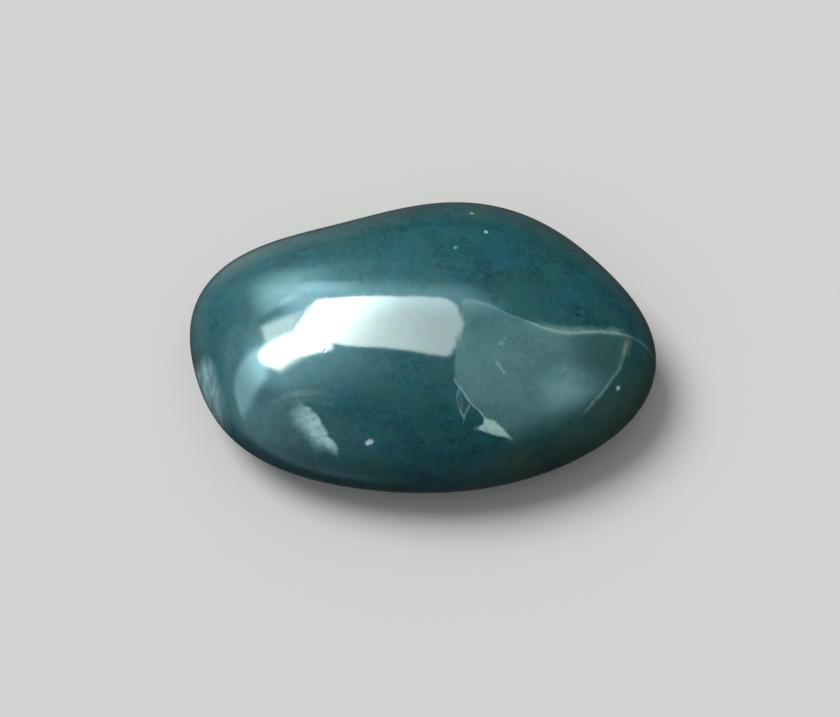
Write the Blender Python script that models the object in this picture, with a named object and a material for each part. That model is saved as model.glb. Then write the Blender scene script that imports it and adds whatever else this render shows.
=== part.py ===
"""Agate gemstone: one polished stone, an uneven oval dome with a rounded lower edge and a flat base."""

import math

import bmesh
import bpy

# Driving sizes, in metres
HALF_LENGTH = 0.0125
HALF_WIDTH = 0.0078
HEIGHT = 0.0090
GIRDLE_HEIGHT = 0.0030

# How far the girdle stands out from a plain ellipse at twelve places round the stone,
# every 30 degrees counter-clockwise from +X
GIRDLE_SWELL = (
    -0.00005, -0.00045, 0.0003, 0.00015, -0.00045, 0.00045,
    -0.00005, 0.00015, 0.00025, 0.00005, 0.0001, 0.0002,
)

# Dome: how much fuller than an ellipsoid it is towards the girdle, and how far its crest leans
DOME_FULLNESS = -0.05
CREST_LEAN = (0.00025, 0.00075)

# Width of the flat base as a share of the girdle's
BASE_SHARE = 0.62

# Fineness of the mesh
SEGMENTS = 72
RINGS = 32

STONE_COLOUR = (0.013, 0.072, 0.086, 1.0)
STONE_ROUGHNESS = 0.07


def clear_scene():
    for obj in list(bpy.data.objects):
        bpy.data.objects.remove(obj, do_unlink=True)


def girdle_swell(around):
    """The swell at any angle round the stone: one smooth curve through the twelve places."""
    count = len(GIRDLE_SWELL)
    total = 0.0
    for place, swell in enumerate(GIRDLE_SWELL):
        angle = around - 2 * math.pi * place / count
        half_tangent = math.tan(angle / 2)
        weight = 1.0 if abs(half_tangent) < 1e-9 else math.sin(count * angle / 2) / (count * half_tangent)
        total += swell * weight
    return total


def plan_point(around, reach):
    """Where the stone's plan is at this angle, reach being 0 at its middle and 1 at the girdle."""
    swell = girdle_swell(around) * reach**3
    x = (HALF_LENGTH * reach + swell) * math.cos(around)
    y = (HALF_WIDTH * reach + swell) * math.sin(around)
    return x, y


def dome_point(around, climb):
    """A point of the dome, climb going from 0 at the girdle to a quarter turn at the crest."""
    reach = math.cos(climb)
    rise = math.sin(climb) * (1 + DOME_FULLNESS * reach**2)
    x, y = plan_point(around, reach)
    z = GIRDLE_HEIGHT + (HEIGHT - GIRDLE_HEIGHT) * rise
    return x + CREST_LEAN[0] * rise, y + CREST_LEAN[1] * rise, z


def underside_point(around, fall):
    """A point of the rounded lower edge, fall going from 0 at the girdle to a quarter turn at the flat base."""
    x, y = plan_point(around, BASE_SHARE + (1 - BASE_SHARE) * math.cos(fall))
    return x, y, GIRDLE_HEIGHT * (1 - math.sin(fall))


def shape_sphere(bm):
    """Turns a unit sphere into the stone: its upper half is the dome, its lower half the rounded edge."""
    quarter = math.pi / 2
    last_ring = quarter - math.pi / RINGS
    for vertex in bm.verts:
        around = math.atan2(vertex.co.y, vertex.co.x)
        tilt = math.asin(max(-1.0, min(1.0, vertex.co.z)))
        if tilt >= 0:
            vertex.co = dome_point(around, tilt)
        else:
            vertex.co = underside_point(around, min(-tilt / last_ring, 1.0) * quarter)


def flatten_base(bm, pole):
    """Joins the faces round the lower pole into the one flat face that the stone rests on."""
    bmesh.ops.dissolve_verts(bm, verts=[pole])


def centre_over_origin(bm):
    """Moves the stone so that the middle of its bounding box is over the origin."""
    for axis in (0, 1):
        places = [vertex.co[axis] for vertex in bm.verts]
        middle = (min(places) + max(places)) / 2
        for vertex in bm.verts:
            vertex.co[axis] -= middle


def stone_material():
    material = bpy.data.materials.new("polished_agate")
    material.use_nodes = True
    shader = material.node_tree.nodes["Principled BSDF"]
    shader.inputs["Base Color"].default_value = STONE_COLOUR
    shader.inputs["Roughness"].default_value = STONE_ROUGHNESS
    shader.inputs["Metallic"].default_value = 0.0
    material.diffuse_color = STONE_COLOUR
    return material


def make_stone():
    bm = bmesh.new()
    bmesh.ops.create_uvsphere(bm, u_segments=SEGMENTS, v_segments=RINGS, radius=1.0)
    pole = min(bm.verts, key=lambda vertex: vertex.co.z)
    shape_sphere(bm)
    flatten_base(bm, pole)
    centre_over_origin(bm)
    bmesh.ops.recalc_face_normals(bm, faces=bm.faces)
    mesh = bpy.data.meshes.new("agate_stone")
    bm.to_mesh(mesh)
    bm.free()
    mesh.shade_smooth()
    mesh.materials.append(stone_material())
    stone = bpy.data.objects.new("agate_stone", mesh)
    bpy.context.scene.collection.objects.link(stone)
    return stone


clear_scene()
make_stone()
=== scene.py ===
import math

import bpy
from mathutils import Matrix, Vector, noise


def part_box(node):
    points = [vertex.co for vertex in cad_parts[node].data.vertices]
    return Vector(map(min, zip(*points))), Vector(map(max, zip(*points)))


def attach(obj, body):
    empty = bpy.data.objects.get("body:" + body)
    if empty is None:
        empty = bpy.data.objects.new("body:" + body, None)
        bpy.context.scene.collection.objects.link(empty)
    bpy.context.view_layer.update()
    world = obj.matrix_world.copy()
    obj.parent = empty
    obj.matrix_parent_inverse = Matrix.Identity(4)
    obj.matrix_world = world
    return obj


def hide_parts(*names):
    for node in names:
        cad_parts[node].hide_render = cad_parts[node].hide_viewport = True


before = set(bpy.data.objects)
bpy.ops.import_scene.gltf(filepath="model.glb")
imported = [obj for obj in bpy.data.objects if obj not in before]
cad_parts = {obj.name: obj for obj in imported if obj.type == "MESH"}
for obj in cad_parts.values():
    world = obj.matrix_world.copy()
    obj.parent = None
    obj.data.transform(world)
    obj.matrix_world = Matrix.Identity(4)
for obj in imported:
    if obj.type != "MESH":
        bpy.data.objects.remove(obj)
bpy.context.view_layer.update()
mm = 0.001


def clearSelection():
    if bpy.context.object and bpy.context.object.mode != "OBJECT":
        bpy.ops.object.mode_set(mode="OBJECT")
    bpy.ops.object.select_all(action="DESELECT")


# One socket that can be used in sums, and the way to any other node
class Wire:
    def __init__(self, tree, socket=None):
        self.tree = tree
        self.socket = socket

    def node(self, kind, settings=None, sockets=None, output=0):
        made = self.tree.nodes.new(kind)
        for name, value in (settings or {}).items():
            if name == "curve":
                line = made.mapping.curves[0]
                for place in value[1:-1]:
                    line.points.new(*place)
                line.points[0].location = value[0]
                line.points[-1].location = value[-1]
                made.mapping.update()
            else:
                setattr(made, name, value)
        for name, value in (sockets or {}).items():
            if isinstance(value, Wire):
                self.tree.links.new(value.socket, made.inputs[name])
            else:
                made.inputs[name].default_value = value
        return Wire(self.tree, made.outputs[output])

    def maths(self, operation, *terms):
        return self.node("ShaderNodeMath", {"operation": operation}, dict(enumerate(terms)))

    def __add__(self, other):
        return self.maths("ADD", self, other)

    def __radd__(self, other):
        return self.maths("ADD", other, self)

    def __sub__(self, other):
        return self.maths("SUBTRACT", self, other)

    def __rsub__(self, other):
        return self.maths("SUBTRACT", other, self)

    def __neg__(self):
        return self.maths("SUBTRACT", 0.0, self)

    def __mul__(self, other):
        return self.maths("MULTIPLY", self, other)

    def __rmul__(self, other):
        return self.maths("MULTIPLY", other, self)

    def __truediv__(self, other):
        return self.maths("DIVIDE", self, other)

    def __abs__(self):
        return self.maths("ABSOLUTE", self)

    def higher(self, other):
        return self.maths("MAXIMUM", self, other)

    def between(self, start, end):     # 0 before start, 1 after end, smooth between
        return self.node("ShaderNodeMapRange", {"interpolation_type": "SMOOTHSTEP"},
                         {"Value": self, "From Min": start, "From Max": end})

    def parts(self):
        split = self.node("ShaderNodeSeparateXYZ", None, {0: self}).socket.node
        return [Wire(self.tree, output) for output in split.outputs]

    def apart(self, place):            # how far this point is from another
        return self.node("ShaderNodeVectorMath", {"operation": "DISTANCE"}, {0: self, 1: place}, "Value")

    def mixed(self, first, second, amount):        # the first colour where amount is 0, the second where it is 1
        return self.node("ShaderNodeMix", {"data_type": "RGBA"}, {0: amount, 6: first, 7: second}, 2)

    def blend(self, other, amount):    # this colour, with another laid over it
        return self.mixed(self, other, amount)

    def glow(self, tint, amount):      # this colour with some of another added
        added = self.node("ShaderNodeVectorMath", {"operation": "SCALE"}, {0: tint[:3], "Scale": amount})
        return self.node("ShaderNodeMix", {"data_type": "RGBA", "blend_type": "ADD"}, {0: 1.0, 6: self, 7: added}, 2)


def colour(red, green, blue):
    return (red, green, blue, 1.0)


def newMaterial(name):
    material = bpy.data.materials.new(name)
    material.use_nodes = True
    tree = material.node_tree
    return material, Wire(tree), tree.nodes["Principled BSDF"]


# Drawing in the nodes: the sides of a line, shapes with corners, strokes and spots

def sideOf(x, y, start, end):          # how far a place lies to the left of the line from start to end
    dx, dy = end[0] - start[0], end[1] - start[1]
    length = math.hypot(dx, dy)
    return (y - start[1]) * (dx / length) - (x - start[0]) * (dy / length)


def inside(x, y, corners, closed=True, rounding=0.0):      # how far inside a shape, its corners counter-clockwise
    depth = None
    for start, end in zip(corners, corners[1:] + corners[:closed]):
        side = sideOf(x, y, start, end)
        depth = depth.maths("SMOOTH_MIN", depth, side, rounding) if depth else side
    return depth


def stroke(offset, width, soft):       # 1 on a line, 0 away from it
    return 1 - abs(offset).between(width / 2, width / 2 + soft)


def thread(x, y, start, end, width, soft):     # a stroke from one point to another
    dx, dy = end[0] - start[0], end[1] - start[1]
    length = math.hypot(dx, dy)
    along = (x - start[0]) * (dx / length) + (y - start[1]) * (dy / length)
    ends = along.between(-soft, soft) * (1 - along.between(length - soft, length + soft))
    return stroke(sideOf(x, y, start, end), width, soft) * ends


def spot(place, at, size, soft):       # 1 round a point, fading over the outer share of its size
    return 1 - place.apart(at).between(size * (1 - soft), size)


# Shape of the stone: lengths in millimetres
stone = {
    "node": "agate_stone",
    "halfLength": 12.5,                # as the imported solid
    "halfWidth": 7.8,
    "height": 9.0,
    "girdleHeight": 3.0,
    "swell": (-0.05, -0.45, 0.3, 0.15, -0.45, 0.45, -0.05, 0.15, 0.25, 0.05, 0.1, 0.2),  # every 30 degrees from +X
    "fullness": -0.05,                 # how full the dome is towards the girdle
    "lean": (0.25, 0.75),              # how far the crest leans
    "baseShare": 0.62,                 # width of the flat base over the girdle's
    "baseTurn": math.radians(60),      # how far round the lower half the flat base starts
    "cuts": 95,                        # fineness of the mesh
    # Slow waviness left by hand polishing: its height, its waves per millimetre,
    # a quicker wave's pace and share of it, and the height over the base where it is full
    "wave": {"height": 0.014, "pace": 0.16, "quickPace": 2.6, "quickShare": 0.25, "fullAt": 1.5},
    "chip": {"at": (5.95, -6.62, 4.3), "size": 0.62, "depth": 0.07, "ragged": 0.35, "raggedPace": 2.4},
}


def girdleSwell(around):               # one smooth curve through the twelve places
    count = len(stone["swell"])
    total = 0.0
    for place, swell in enumerate(stone["swell"]):
        angle = around - 2 * math.pi * place / count
        halfTangent = math.tan(angle / 2)
        weight = 1.0 if abs(halfTangent) < 1e-9 else math.sin(count * angle / 2) / (count * halfTangent)
        total += swell * weight
    return total


def planPoint(around, reach):          # reach is 0 at the middle and 1 at the girdle
    swell = girdleSwell(around) * reach**3
    return ((stone["halfLength"] * reach + swell) * math.cos(around),
            (stone["halfWidth"] * reach + swell) * math.sin(around))


def stonePoint(ball):                  # a point of the unit ball, moved onto the stone
    around = math.atan2(ball.y, ball.x)
    tilt = math.asin(max(-1.0, min(1.0, ball.z)))
    girdle = stone["girdleHeight"]
    if tilt >= 0:
        reach = math.cos(tilt)
        rise = math.sin(tilt) * (1 + stone["fullness"] * reach**2)
        x, y = planPoint(around, reach)
        return Vector((x + stone["lean"][0] * rise, y + stone["lean"][1] * rise,
                       girdle + (stone["height"] - girdle) * rise))
    quarter = math.pi / 2
    if -tilt < stone["baseTurn"]:
        fall = -tilt / stone["baseTurn"] * quarter
        x, y = planPoint(around, stone["baseShare"] + (1 - stone["baseShare"]) * math.cos(fall))
        return Vector((x, y, girdle * (1 - math.sin(fall))))
    x, y = planPoint(around, stone["baseShare"] * (quarter + tilt) / (quarter - stone["baseTurn"]))
    return Vector((x, y, 0.0))


def waviness(point):                   # how far hand polishing left the surface proud here
    wave = stone["wave"]
    fade = min(1.0, point.z / wave["fullAt"])      # the base stays flat
    slow = noise.noise(point * wave["pace"] + Vector((3.1, 7.7, 1.9)))
    quick = noise.noise(point * wave["pace"] * wave["quickPace"] + Vector((8.2, 0.4, 5.5)))
    return (slow + wave["quickShare"] * quick) * wave["height"] * fade


def chipDepth(point):
    chip = stone["chip"]
    offset = point - Vector(chip["at"])
    ragged = 1 + chip["ragged"] * noise.noise(point * chip["raggedPace"])
    share = offset.length / (chip["size"] * ragged)
    return chip["depth"] * (1 - share**2) ** 2 if share < 1 else 0.0


def fitToNode(mesh, node):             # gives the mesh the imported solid's own box, in metres
    low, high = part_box(node)
    for axis in range(3):
        places = [vertex.co[axis] for vertex in mesh.vertices]
        start, end = min(places), max(places)
        scale = (high[axis] - low[axis]) / (end - start)
        for vertex in mesh.vertices:
            vertex.co[axis] = low[axis] + (vertex.co[axis] - start) * scale


def makeStone():
    clearSelection()
    bpy.ops.mesh.primitive_cube_add(size=2)
    piece = bpy.context.object
    piece.name = "polished_agate"
    bpy.ops.object.mode_set(mode="EDIT")
    bpy.ops.mesh.select_all(action="SELECT")
    bpy.ops.mesh.subdivide(number_cuts=stone["cuts"])
    bpy.ops.transform.tosphere(value=1)
    bpy.ops.object.mode_set(mode="OBJECT")
    mesh = piece.data
    points = [stonePoint(vertex.co.normalized()) for vertex in mesh.vertices]
    for vertex, point in zip(mesh.vertices, points):
        vertex.co = point
    outwards = [vertex.normal.copy() for vertex in mesh.vertices]
    for vertex, point, out in zip(mesh.vertices, points, outwards):
        vertex.co = point + out * (waviness(point) - chipDepth(point))
    fitToNode(mesh, stone["node"])
    clearSelection()
    piece.select_set(True)
    bpy.ops.object.shade_smooth()
    return piece


# Finish of the stone: places and sizes in millimetres
pattern = {
    "deep": colour(0.0065, 0.046, 0.058),
    "body": colour(0.0200, 0.126, 0.150),
    "green": colour(0.0230, 0.108, 0.096),
    "blue": colour(0.0190, 0.100, 0.150),
    # painted shade tint: greener colour for the lower right side, away from the main light
    "edge": colour(0.0530, 0.122, 0.103),
    "block": colour(0.100, 0.225, 0.250),
    "blockGreen": colour(0.096, 0.232, 0.228),
    "shade": colour(0.034, 0.108, 0.110),
    "cloud": colour(0.150, 0.330, 0.370),
    "vein": colour(0.255, 0.430, 0.400),
    "pale": colour(0.480, 0.740, 0.690),
    "plume": colour(0.400, 0.650, 0.690),
    "olive": colour(0.110, 0.160, 0.110),
    "smoke": colour(0.007, 0.032, 0.062),
    # dark: the colour of the dark specks, and of the painted shade along the lower edge
    "dark": colour(0.004, 0.020, 0.026),
    "white": colour(0.640, 0.770, 0.770),
    "waver": 0.16,                     # how far the veins and the plume stray
    "mottle": (0.18, 0.32, 0.5),       # shares of slow blotches, fine wisps and grain
    "blockFoot": ((4.7, -6.2), (8.4, -4.7)),       # the block fades out below this line
    # Soft patches in the block, one of them a painted glow, and the smoke at the left: middle, size, and share of it
    # that fades
    "shadeSpot": ((9.5, -1.4, 6.6), 3.2, 0.8),
    "cornerSpot": ((3.0, 0.2, 8.6), 3.4, 1.0),
    "paintedGlowSpot": ((7.3, -3.6, 6.8), 2.0, 1.0),
    "leafSpot": ((2.2, -4.75, 7.35), 0.75, 0.8),
    "smokeSpot": ((-7.8, -5.4, 4.8), 3.4, 0.7),
    "reach": 12.5,                     # the vein lines run from -reach to reach
    "topVein": [(-12.5, 1.6), (0.0, 0.75), (1.8, 0.52), (2.7, 0.42), (3.49, 0.23), (4.27, -0.10), (5.05, -0.37),
                (5.86, -0.61), (6.63, -0.81), (7.16, -0.86), (7.96, -0.80), (8.73, -0.64), (9.55, -0.50),
                (10.12, -0.45), (10.64, -0.40), (11.23, -0.44), (11.77, -0.62), (12.5, -1.05)],
    "rightVein": [(-12.5, 0.0), (-7.5, 3.9), (-5.6, 7.2), (-4.74, 8.23), (-4.40, 8.60), (-4.08, 8.91), (-3.75, 9.19),
                  (-3.36, 9.49), (-2.95, 9.81), (-2.50, 10.16), (-2.05, 10.40), (-1.64, 10.51), (-1.31, 10.59),
                  (-0.91, 10.72), (-0.45, 10.86), (2.0, 11.0), (12.5, 11.0)],
    "hairline": [(-12.5, 12.0), (-6.5, 4.9), (-5.25, 3.20), (-5.01, 3.01), (-4.79, 2.68), (-4.50, 2.38),
                 (-4.15, 2.11), (-3.86, 1.87), (-3.71, 1.72), (-3.45, 1.65), (-2.6, 1.62), (-1.5, 1.83),
                 (0.4, 1.98), (12.5, 2.0)],
    "triangle": [(3.38, -5.86), (3.64, -5.93), (4.65, -6.07), (4.23, -5.69), (3.75, -5.38), (3.20, -5.25),
                 (3.12, -5.50)],
    "triangleFoot": [(2.90, -5.77), (3.38, -5.86), (3.20, -5.45), (2.94, -5.62)],
    # Fine threads beside the hairline: both ends and strength
    "threads": [((1.84, -3.95), (1.80, -4.40), 0.35), ((1.80, -4.40), (1.93, -4.99), 0.22),
                ((1.92, -4.95), (2.13, -5.27), 0.55), ((2.12, -5.25), (2.07, -5.55), 0.22),
                ((2.43, -4.74), (2.31, -4.94), 0.45), ((2.31, -4.94), (2.12, -5.25), 0.35),
                ((1.89, -4.01), (2.02, -4.53), 0.18), ((2.02, -4.53), (2.04, -4.95), 0.15),
                ((2.70, -5.76), (2.95, -5.68), 0.35)],
    # Short dashes: both ends, width and softness
    "oliveDash": ((10.86, -0.45), (10.66, -1.45), 0.24, 0.16),
    "paleDash": ((3.80, -2.64), (4.27, -3.20), 0.03, 0.07),
    "plumeFront": [(-4.42, -6.62), (-4.44, -6.42), (-5.26, -5.25), (-5.72, -4.65), (-6.2, -4.34), (-6.74, -4.33)],
    "plumeBack": [(-6.55, -4.32), (-6.95, -4.75), (-6.85, -5.35), (-5.60, -6.38), (-4.40, -6.72)],
    "fray": 0.40,                      # how ragged the plume's edges are
    "arcs": [(4.68, 0.10, 0.22), (4.36, 0.04, 0.10)],      # radius, width and strength
    "arcMiddle": (-6.3, -8.6, 0),
    "rimReflectionLine": ((-11.0, -3.9), (-11.75, -1.3)),    # the painted reflection streaks at the left end lie along this line
    # Specks: middle, size and colour
    "specks": [((-2.86, -6.33, 5.91), 0.19, "white"), ((-2.71, -6.28, 6.00), 0.22, "white"),
               ((10.27, -3.13, 5.49), 0.18, "white"), ((3.34, 4.81, 7.70), 0.17, "plume"),
               ((2.64, 6.25, 6.80), 0.15, "plume"), ((1.70, 3.61, 8.43), 0.15, "cloud"),
               ((7.41, -2.68, 7.23), 0.17, "cloud"), ((7.20, -2.92, 7.25), 0.12, "cloud"),
               ((4.06, -1.72, 8.40), 0.17, "cloud"), ((4.22, -1.45, 8.40), 0.12, "cloud"),
               ((8.11, 0.18, 7.55), 0.12, "dark"), ((6.58, 3.91, 7.23), 0.12, "dark")],
    "speckWarp": 0.22,                 # how uneven the specks' outlines are
    # Roughness of the polish, what fine wisps and grain add to it, and what the base adds
    "rough": {"polish": 0.04, "fine": 0.025, "grain": 0.02, "base": 0.3},
    "ripple": 0.004,                   # height of the ripples left by polishing
    "pit": 0.001,                      # depth of the pits
    "refraction": 1.54,
}


def curveLine(coordinate, points):     # the other coordinate of a line in the stone, read off a smooth curve
    reach = pattern["reach"]
    shares = [((a + reach) / (2 * reach), (b + reach) / (2 * reach)) for a, b in points]
    share = (coordinate + reach) / (2 * reach)
    line = coordinate.node("ShaderNodeFloatCurve", {"curve": shares}, {"Value": share})
    return line * (2 * reach) - reach


def stoneFinish():
    material, wire, shader = newMaterial("polished_agate")
    place = wire.node("ShaderNodeTexCoord", output="Object")
    place = wire.node("ShaderNodeVectorMath", {"operation": "SCALE"}, {0: place, "Scale": 1 / mm})

    def cloud(scale, detail, shift=0.0, rough=0.5, stretch=(1, 1, 1), turn=0.0):
        moved = wire.node("ShaderNodeMapping", None,
                          {"Vector": place, "Location": (shift, shift * 1.7, -shift), "Scale": stretch,
                           "Rotation": (0, 0, math.radians(turn))})
        return wire.node("ShaderNodeTexNoise", None,
                         {"Vector": moved, "Scale": scale, "Detail": detail, "Roughness": rough})

    x, y, z = place.parts()
    flat = wire.node("ShaderNodeVectorMath", {"operation": "MULTIPLY"}, {0: place, 1: (1, 1, 0)})
    jitter = (cloud(1.6, 3, 4.0) - 0.5) * pattern["waver"]
    vx, vy = x + jitter, y - jitter
    upper = z.between(3.5, 4.0)        # keeps a marking off the underside

    topGap = vy - curveLine(vx, pattern["topVein"])
    rightGap = vx - curveLine(vy, pattern["rightVein"])
    hairGap = vx - curveLine(vy, pattern["hairline"])

    # Body: blotches, greener and bluer wisps, a greener tint painted on the shaded lower right side, and painted shade
    # along the lower edge
    blotch = cloud(0.16, 3, 11.0).between(0.3, 0.7)
    fine = cloud(1.0, 5, 2.0, 0.62).between(0.35, 0.65)
    grain = cloud(4.2, 4, 6.0, 0.8).between(0.36, 0.64)
    blotchShare, fineShare, grainShare = pattern["mottle"]
    mottle = blotch * blotchShare + fine * fineShare + grain * grainShare
    body = wire.mixed(pattern["deep"], pattern["body"], mottle)
    body = body.blend(pattern["green"], cloud(0.45, 6, 23.0, 0.65).between(0.45, 0.7) * 0.75)
    body = body.blend(pattern["blue"], cloud(0.6, 6, 37.0, 0.65).between(0.5, 0.72) * 0.7)
    # Painted shade tint: the lower right side, away from the main light, turns greener in place of light scattered
    # inside the stone
    shadedLowerRight = (x * 0.55 - y * 0.84).between(6.6, 9.6)
    body = body.blend(pattern["edge"], shadedLowerRight * (0.6 + 0.4 * fine))
    # Painted shade: the lower front edge is darkened where little light reaches it
    paintedShadeLowerEdge = (-y).between(5.2, 6.8) * x.between(4.0, 7.0)
    body = body.blend(pattern["dark"], paintedShadeLowerEdge * 0.4)

    # The paler block that the veins close in
    block = (-topGap).between(-0.05, 0.15) * (-rightGap).between(-0.1, 0.4) * hairGap.between(-0.04, 0.14)
    block = block * sideOf(x, y, *pattern["blockFoot"]).between(-0.4, 1.0)
    murk = cloud(0.7, 6, 31.0, 0.65).between(0.3, 0.7)
    tint = wire.mixed(pattern["block"], pattern["blockGreen"], cloud(0.8, 4, 71.0, 0.6).between(0.4, 0.6))
    corner = spot(place, *pattern["cornerSpot"])
    body = body.blend(tint, block * (0.58 + 0.38 * murk + 0.22 * grain) * (1 - 0.5 * corner))
    body = body.blend(pattern["shade"], block * spot(place, *pattern["shadeSpot"]) * 0.9)
    # Painted glow: a pale cloud in the block that stands in for half of a soft reflection; the other half is light in
    # the sky
    hazy = spot(place, *pattern["paintedGlowSpot"]) * block
    body = body.blend(pattern["cloud"], hazy * (0.25 + 0.6 * fine))
    leaf = spot(place, *pattern["leafSpot"]) * (-hairGap).between(-0.02, 0.08)
    body = body.blend(pattern["shade"], leaf * 0.6)

    # Veins
    topVein = stroke(topGap, 0.03, 0.11) * vx.between(1.9, 3.2) * (1 - 0.6 * vx.between(10.6, 11.2))
    startVein = stroke(topGap, 0.10, 0.20) * vx.between(1.7, 2.4) * (1 - vx.between(3.4, 5.0))
    feather = stroke(topGap - 0.08, 0.06, 0.34) * vx.between(5.4, 6.8) * (1 - vx.between(10.0, 11.2))
    rightVein = stroke(rightGap, 0.05, 0.13) * vy.between(-5.2, -4.1) * (1 - vy.between(-1.0, -0.5))
    hairline = stroke(hairGap, 0.05, 0.08) * vy.between(-5.6, -5.3) * (1 - vy.between(-3.6, -3.3))
    body = body.blend(pattern["olive"], thread(x, y, *pattern["oliveDash"]) * 0.8)
    body = body.blend(pattern["vein"], topVein * (0.30 + 0.42 * vx.between(4.5, 6.5)) * (0.7 + 0.5 * fine))
    body = body.blend(pattern["cloud"], startVein * 0.14)
    body = body.blend(pattern["vein"], feather * (0.06 + 0.34 * fine + 0.12 * grain))
    body = body.blend(pattern["plume"], rightVein * (0.12 + 0.28 * fine))
    body = body.blend(pattern["plume"], hairline * (0.3 + 0.2 * fine))
    for start, end, strength in pattern["threads"]:
        body = body.blend(pattern["plume"], thread(vx, vy, start, end, 0.03, 0.08) * (0.6 * strength))

    # Pale patch where the hairline opens out
    patch = inside(vx, vy, pattern["triangle"]).higher(inside(vx, vy, pattern["triangleFoot"]))
    body = body.blend(pattern["pale"], patch.between(-0.06, 0.08) * upper * (0.78 + 0.22 * grain))

    # Smoky blue patches, a pale plume at the lower left, and the arcs over it
    smoke = spot(place, *pattern["smokeSpot"]) * cloud(1.3, 5, 59.0, 0.7).between(0.42, 0.62)
    body = body.blend(pattern["smoke"], smoke * 0.6)
    across = cloud(1.5, 4, 51.0, 0.6, (1, 3.2, 1), 40).between(0.3, 0.62)
    fray = (cloud(1.8, 3, 67.0, 0.5) - 0.5) * pattern["fray"]
    front = (inside(vx, vy, pattern["plumeFront"], False) + fray).between(-0.05, 0.16)
    back = (inside(vx, vy, pattern["plumeBack"], False) + fray).between(-0.15, 0.5)
    fading = 1 - 0.6 * (-vx).between(5.0, 6.8)
    plume = front * back * upper * fading
    body = body.blend(pattern["plume"], plume * (0.46 + 0.42 * across + 0.25 * fine + 0.2 * grain))
    ends = vx.between(-8.2, -7.0) * (1 - vx.between(-5.2, -4.3)) * y.between(-5.0, -4.7)
    for radius, width, strength in pattern["arcs"]:
        arc = stroke(flat.apart(pattern["arcMiddle"]) - radius, width, 0.18) * ends
        body = body.blend(pattern["vein"], arc * (strength * 0.6 + fine * strength))

    # Pale streaks painted low on the left end: a painted reflection
    wisps = cloud(1.3, 3, 63.0, 0.5, (3.0, 0.8, 1), -18).between(0.3, 0.7)
    paintedRimReflection = stroke(sideOf(x, y, *pattern["rimReflectionLine"]), 0.3, 0.65)
    paintedRimReflection = paintedRimReflection * y.between(-5.2, -3.6) * (1 - y.between(-1.9, -0.9)) * z.between(1.5, 2.6)
    body = body.blend(pattern["plume"], paintedRimReflection * (0.12 + 0.40 * wisps + 0.16 * fine))

    # Specks and a short pale dash
    ragged = (cloud(4.5, 1, 81.0) - 0.5) * pattern["speckWarp"]
    warped = wire.node("ShaderNodeCombineXYZ", None, {0: x + ragged, 1: y + ragged * 0.5, 2: z})
    for at, size, tone in pattern["specks"]:
        body = body.blend(pattern[tone], spot(warped, at, size, 0.7) * (0.7 + 0.25 * grain))
    body = body.blend(pattern["pale"], thread(x, y, *pattern["paleDash"]) * 0.3)
    wire.tree.links.new(body.socket, shader.inputs["Base Color"])

    # Roughness: a little uneven, and duller at the base
    rough = pattern["rough"]
    dull = rough["polish"] + rough["fine"] * fine + rough["grain"] * grain + rough["base"] * (1 - z.between(0.02, 0.3))
    wire.tree.links.new(dull.socket, shader.inputs["Roughness"])

    # Faint ripples left by polishing, and a few pinhead pits
    pits = cloud(2.4, 1, 91.0).between(0.72, 0.80)
    relief = cloud(0.8, 2, 95.0) * pattern["ripple"] - pits * pattern["pit"]
    bump = wire.node("ShaderNodeBump", None, {"Height": relief, "Strength": 1.0, "Distance": mm})
    wire.tree.links.new(bump.socket, shader.inputs["Normal"])
    shader.inputs["IOR"].default_value = pattern["refraction"]
    return material


floor = {"size": 6.0, "colour": (0.66, 0.65, 0.635), "roughness": 0.9}     # size in metres


def makeFloor():
    clearSelection()
    bpy.ops.mesh.primitive_plane_add(size=floor["size"])
    piece = bpy.context.object
    piece.name = "floor"
    material, wire, shader = newMaterial("pale_floor")
    shader.inputs["Base Color"].default_value = colour(*floor["colour"])
    shader.inputs["Roughness"].default_value = floor["roughness"]
    shader.inputs["Specular IOR Level"].default_value = 0.0
    piece.data.materials.append(material)
    piece.visible_glossy = False       # the stone mirrors a dim surround instead
    piece.visible_diffuse = False


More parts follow.
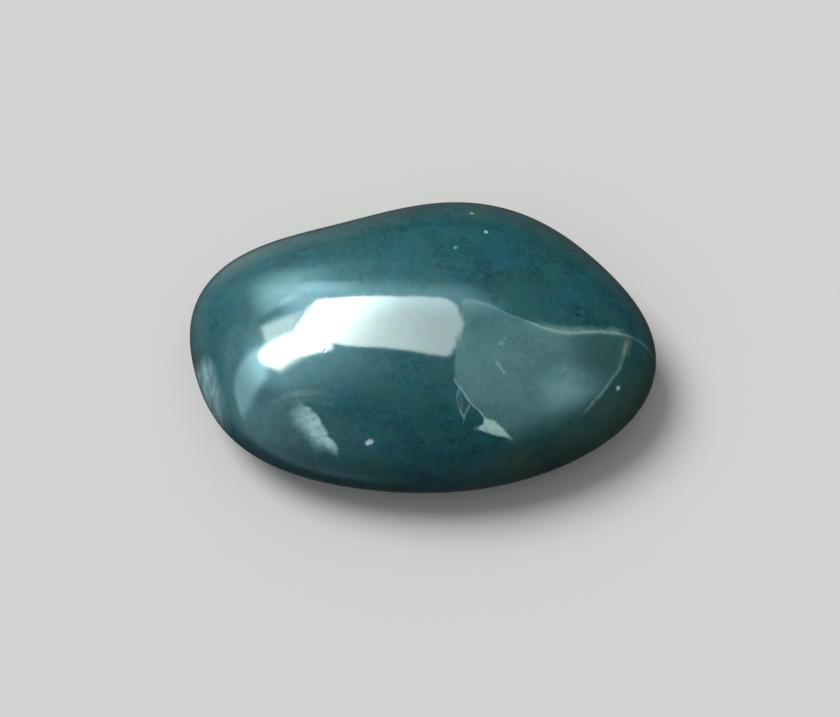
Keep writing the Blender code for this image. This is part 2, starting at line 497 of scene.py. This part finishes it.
light = {
    "toward": (-0.42, 0.30, 0.86),     # where the soft main light comes from
    "spread": math.radians(30),
    "power": 2.2,
    "hung": 0.3,                       # metres over the floor
    "fill": (0.17, 0.50),              # soft light from all round: from the far side, and from the main light's side
    "backdrop": (0.64, 0.64, 0.63),
    "below": (0.17, 0.12, 0.09),       # what the stone's lower edge mirrors
    "dim": (0.03, 0.03, 0.03),         # what it mirrors where there is no light panel
    "panel": (0.88, 1.0, 0.95),        # colour of the panels' light
    "haze": (0.50, 0.88, 0.96),        # colour of the hazy light round them
    # The light panels, as places in the sky: x over z and y over z of the direction, corners counter-clockwise
    "window": [(-0.50, -0.09), (0.115, -0.315), (0.16, -0.13), (0.178, 0.10), (0.15, 0.29), (0.09, 0.385),
               (-0.62, 0.52), (-0.72, 0.29)],
    "wing": [(-0.47, -0.17), (-0.40, 0.46), (-0.62, 0.54), (-0.80, 0.15), (-0.80, -0.26)],
    "lobe": [(-0.66, -0.17), (-0.66, 0.16), (-1.09, 0.11), (-1.26, 0.02), (-1.44, -0.10), (-1.40, -0.22),
             (-1.20, -0.34), (-1.02, -0.40), (-0.89, -0.33)],
    "pane": [(-0.77, 0.00), (-0.75, 0.34), (-1.27, 0.31), (-1.20, 0.04)],
    "side": [(-0.55, -0.08), (-0.20, 0.22), (-0.06, 0.40), (0.04, 0.60), (-0.10, 0.66), (-0.30, 0.60),
             (-0.50, 0.26)],           # y and z of the direction, to the left
    "unevenness": 0.05,                # how far the panels' edges stray
    # Brightness of the panels
    "windowPower": {"all": 8.0, "left": 4.5, "farLeft": 16.0},
    "wingPower": 26.0,
    "lobePower": 26.0,
    "panePower": 8.5,
    "sidePower": {"low": 3.6, "high": 6.0, "round": 0.9},
    # Hazy patches of light: direction, where the fading starts and ends, brightness,
    # and how cloudy: the least, what noise adds, and the noise's scale and detail
    "patches": [((-0.56, 0.56, 0.61), 0.05, 0.5, 2.3, (0.2, 1.6, 4.0, 4.0)),
                ((-0.60, 0.60, 0.53), 0.03, 0.32, 3.2, (0.0, 1.8, 7.0, 4.0)),
                ((-0.62, 0.45, 0.64), 0.03, 0.28, 4.5, None),
                ((-0.45, 0.68, 0.58), 0.1, 0.8, 0.70, None),
                ((-0.92, 0.07, 0.38), 0.05, 0.4, 0.85, (0.2, 1.5, 9.0, 4.0))],
    "veil": ((-0.60, -0.68, 0.20), 0.05, 0.75, 0.9, None),
    "glow": ((0.69, -0.50, 0.53), 0.02, 0.36, 1.3, (0.3, 1.6, 6.0, 4.0)),
    # Brighter streaks in the haze, and a darker one: both ends, width and softness
    "streaks": [((-0.99, 0.63), (-0.83, 0.66), 0.03, 0.09), ((-0.82, 0.86), (-0.42, 0.64), 0.06, 0.13)],
    "streakPower": 4.8,
    "shadow": [(-1.42, 0.40), (-0.88, 0.47), 0.03, 0.13],
    "shadowDepth": 0.6,
    "edging": 3.6,                     # haze above the window
    "halo": 3.3,                       # haze round the lobe
    "surround": 0.35,                  # wide haze round the window
    "leftWall": 0.55,
    "backWall": 0.47,
}


def makeSky():                         # what lights the stone from all round, and what it mirrors
    world = bpy.data.worlds.new("studio")
    bpy.context.scene.world = world
    world.use_nodes = True
    world.cycles.sampling_method = "NONE"
    tree = world.node_tree
    wire = Wire(tree)
    direction = wire.node("ShaderNodeTexCoord", output="Generated")
    x, y, z = direction.parts()
    above = z.between(0.0, 0.15)

    # Soft light from all round
    toward = Vector(light["toward"]).normalized()
    slope = x * toward.x + y * toward.y + z * toward.z
    low, high = light["fill"]
    soft = (low + (high - low) * slope.between(-0.4, 1.0)) * (0.08 + 0.92 * z.between(-0.1, 0.1))
    fill = wire.node("ShaderNodeCombineColor", None, {0: soft * 0.96, 1: soft, 2: soft})

    def wisps(scale, detail):
        return wire.node("ShaderNodeTexNoise", None, {"Vector": direction, "Scale": scale, "Detail": detail})

    def hazyPatch(place, near, far, power, clouding):      # brightest towards a direction, dark past far
        spread = 1 - direction.apart(Vector(place).normalized()).between(near, far)
        if clouding:
            least, gain, scale, detail = clouding
            spread = spread * (least + gain * wisps(scale, detail))
        return spread * power

    # Light panels
    u = x / z.higher(0.05) + (wisps(3.0, 2.0) - 0.5) * light["unevenness"]
    v = y / z.higher(0.05) + (wisps(3.6, 2.0) - 0.5) * light["unevenness"]
    window = inside(u, v, light["window"], True, 0.05)
    wing = inside(u, v, light["wing"], True, 0.04)
    lobe = inside(u, v, light["lobe"], True, 0.05)
    pane = inside(u, v, light["pane"], True, 0.04)
    power = light["windowPower"]
    power = (power["all"] + power["left"] * (1 - u.between(-0.35, 0.10))
             + power["farLeft"] * (1 - (u - v * 0.3).between(-0.62, -0.18)))
    flare = lobe.between(-0.11, 0.08)
    shine = (window.between(-0.005, 0.03) * power).higher(wing.between(-0.01, 0.05) * light["wingPower"])
    shine = shine.higher(flare * flare * light["lobePower"])
    shine = shine.higher(pane.between(-0.06, 0.05) * light["panePower"]) * above

    # Hazy light round the panels
    edging = window.between(-0.45, 0.0) * v.between(0.0, 0.4)
    halo = lobe.between(-0.9, 0.0)
    haze = sum(hazyPatch(*patch) for patch in light["patches"])
    haze = haze + sum(thread(u, v, *line) for line in light["streaks"]) * light["streakPower"]
    haze = haze + edging * edging * light["edging"] + halo * halo * light["halo"]
    haze = haze * (1 - thread(u, v, *light["shadow"]) * light["shadowDepth"])
    haze = haze + window.between(-1.2, 0.0) * light["surround"]
    haze = haze + y.between(-0.2, 0.9) * (0.2 - 0.15 * x.between(0.0, 0.6))

    # Light from the walls: left, a panel low at the left, and behind
    leftWall = (-x).between(0.0, 0.9) * (z + y * 0.25).between(-0.9, 0.0) * light["leftWall"]
    side = inside(y, z, light["side"], True, 0.06)
    sidePower = light["sidePower"]
    side = (side.between(-0.03, 0.06) * (sidePower["low"] + sidePower["high"] * z.between(0.28, 0.62))
            + side.between(-0.40, 0.0) * sidePower["round"]) * (-x).between(0.0, 0.3)
    backWall = (-x).between(0.0, 0.45) * y.between(0.55, 0.85) * (1 - z.between(-0.15, 0.25)) * light["backWall"]

    lowDown = (1 - z.between(-0.3, 0.05)) * slope.between(-1.2, 0.3)
    mirrored = wire.mixed(colour(*light["dim"]), colour(*light["below"]), lowDown)
    hazy = haze * above + leftWall + side + hazyPatch(*light["veil"]) + hazyPatch(*light["glow"])
    mirrored = mirrored.glow(light["haze"], hazy).glow(light["panel"], shine + backWall)

    rays = wire.node("ShaderNodeLightPath").socket.node
    seen = Wire(tree, rays.outputs["Is Camera Ray"])
    glossy = Wire(tree, rays.outputs["Is Glossy Ray"])
    sky = fill.blend(mirrored, glossy).blend(colour(*light["backdrop"]), seen)
    tree.links.new(sky.socket, tree.nodes["Background"].inputs["Color"])


def makeLight():
    clearSelection()
    bpy.ops.object.light_add(type="SUN", location=(0, 0, light["hung"]))
    lamp = bpy.context.object
    lamp.name = "key"
    lamp.data.angle = light["spread"]
    lamp.data.energy = light["power"]
    lamp.rotation_euler = Vector(light["toward"]).to_track_quat("Z", "Y").to_euler()
    lamp.visible_glossy = False


view = {
    "elevation": math.radians(70),
    "distance": 0.155,                 # metres
    "focal": 2900,                     # pixels
    "width": 840,                      # pixels
    "height": 717,
    "target": (0.013, -0.15, 3.6),     # millimetres
    "targetPixel": (422.7, 347.0),
    "sensor": 36,                      # millimetres
    "near": 0.01,                      # nearest that the camera sees, in metres
}


def makeCamera():
    tilt = view["elevation"]
    back = Vector((0, -math.cos(tilt), math.sin(tilt)))
    up = Vector((0, math.sin(tilt), math.cos(tilt)))
    right = Vector((1, 0, 0))
    perPixel = view["distance"] / view["focal"]
    acrossPixels = view["width"] / 2 - view["targetPixel"][0]
    upPixels = view["targetPixel"][1] - view["height"] / 2
    place = Vector(view["target"]) * mm + back * view["distance"]
    place += (right * acrossPixels + up * upPixels) * perPixel
    bpy.ops.object.camera_add(location=place)
    camera = bpy.context.object
    camera.rotation_euler = back.to_track_quat("Z", "Y").to_euler()
    camera.data.sensor_width = view["sensor"]
    camera.data.lens = view["focal"] * view["sensor"] / view["width"]
    camera.data.clip_start = view["near"]
    bpy.context.scene.camera = camera


bpy.context.scene.view_settings.view_transform = "Standard"
makeCamera()
makeFloor()
makeSky()
makeLight()
print("camera, floor and lights are in place")

piece = makeStone()
piece.data.materials.clear()
piece.data.materials.append(stoneFinish())
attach(piece, "root")
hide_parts(stone["node"])
print("stone is shaped and finished:", len(piece.data.polygons), "faces")
